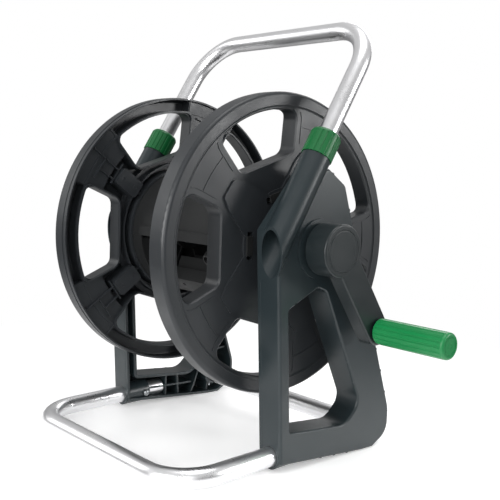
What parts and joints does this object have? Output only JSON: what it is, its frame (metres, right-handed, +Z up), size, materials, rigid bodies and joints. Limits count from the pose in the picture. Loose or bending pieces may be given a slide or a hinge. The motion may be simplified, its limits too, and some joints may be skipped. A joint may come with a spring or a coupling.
{
  "type": "hose reel",
  "caption": "Free-standing garden hose reel: spoked plastic flanges and drum between two side frames, bent tube base and telescopic handle, side crank with a turning grip.",
  "frame": {"origin": "middle of the whole object's footprint, on the floor", "axes": "+X along the reel axle towards the crank, +Y to the rear where the handle leans, +Z up from the floor"},
  "size_m": [0.5056, 0.361, 0.5205],
  "materials": {
    "frame_plastic": "fine-textured moulded anthracite polypropylene",
    "reel_plastic": "fine-textured moulded anthracite polypropylene",
    "crank_plastic": "satin moulded anthracite polypropylene",
    "green_plastic": "satin moulded green polypropylene",
    "grip_green_plastic": "satin moulded green polypropylene",
    "polished_aluminium": "drawn and polished",
    "zinc_steel": "zinc plated",
    "grey_plastic": "smooth moulded acetal",
    "black_rubber": "moulded"
  },
  "bodies": {
    "frame": {"right_side_frame": "frame_plastic", "left_side_frame": "frame_plastic", "base_tube": "polished_aluminium", "cross_tube": "polished_aluminium", "base_tube_screws": "zinc_steel", "cross_tube_screws": "zinc_steel", "clamp_collets": "grey_plastic", "right_bearing_bush": "grey_plastic", "left_bearing_bush": "grey_plastic"},
    "reel": {"right_flange": "reel_plastic", "left_flange": "reel_plastic", "drum_upper_shell": "reel_plastic", "drum_lower_shell": "reel_plastic", "right_drum_bulkhead": "reel_plastic", "left_drum_bulkhead": "reel_plastic", "crank_shaft": "crank_plastic", "water_axle": "frame_plastic", "retaining_ring": "zinc_steel", "inlet_seals": "black_rubber", "water_pipe": "reel_plastic", "hose_nipple": "grey_plastic", "crank_arm": "crank_plastic", "crank_cap": "crank_plastic", "crank_screw": "zinc_steel", "grip_spindle": "zinc_steel"},
    "grip": {"crank_grip": "grip_green_plastic", "grip_end_plug": "grip_green_plastic"},
    "handle": {"handle_tube": "polished_aluminium", "handle_end_plugs": "grey_plastic"},
    "right_collar": {"right_collar": "green_plastic"},
    "left_collar": {"left_collar": "green_plastic"},
    "inlet": {"inlet_elbow": "frame_plastic", "inlet_nut": "grey_plastic", "tap_connector": "grey_plastic"}
  },
  "joints": [
    {"name": "reel_spin", "type": "hinge", "parent": "frame", "child": "reel", "pos_m": [-0.04775, 0.0045, 0.249], "axis": [1, 0, 0], "continuous": true},
    {"name": "grip_spin", "type": "hinge", "parent": "reel", "child": "grip", "pos_m": [0.20225, 0.07128, 0.15538], "axis": [1, 0, 0], "continuous": true},
    {"name": "handle_slide", "type": "slide", "parent": "frame", "child": "handle", "axis": [0, 0.509, 0.8607], "range_m": [-0.075, 0]},
    {"name": "right_collar_twist", "type": "hinge", "parent": "frame", "child": "right_collar", "pos_m": [0.10725, 0.00989, 0.35861], "axis": [0, 0.509, 0.8607], "range_deg": [0, 90]},
    {"name": "left_collar_twist", "type": "hinge", "parent": "frame", "child": "left_collar", "pos_m": [-0.20275, 0.00989, 0.35861], "axis": [0, 0.509, 0.8607], "range_deg": [0, 90]},
    {"name": "inlet_swivel", "type": "hinge", "parent": "reel", "child": "inlet", "pos_m": [-0.23675, 0.0045, 0.249], "axis": [1, 0, 0], "continuous": true}
  ]
}
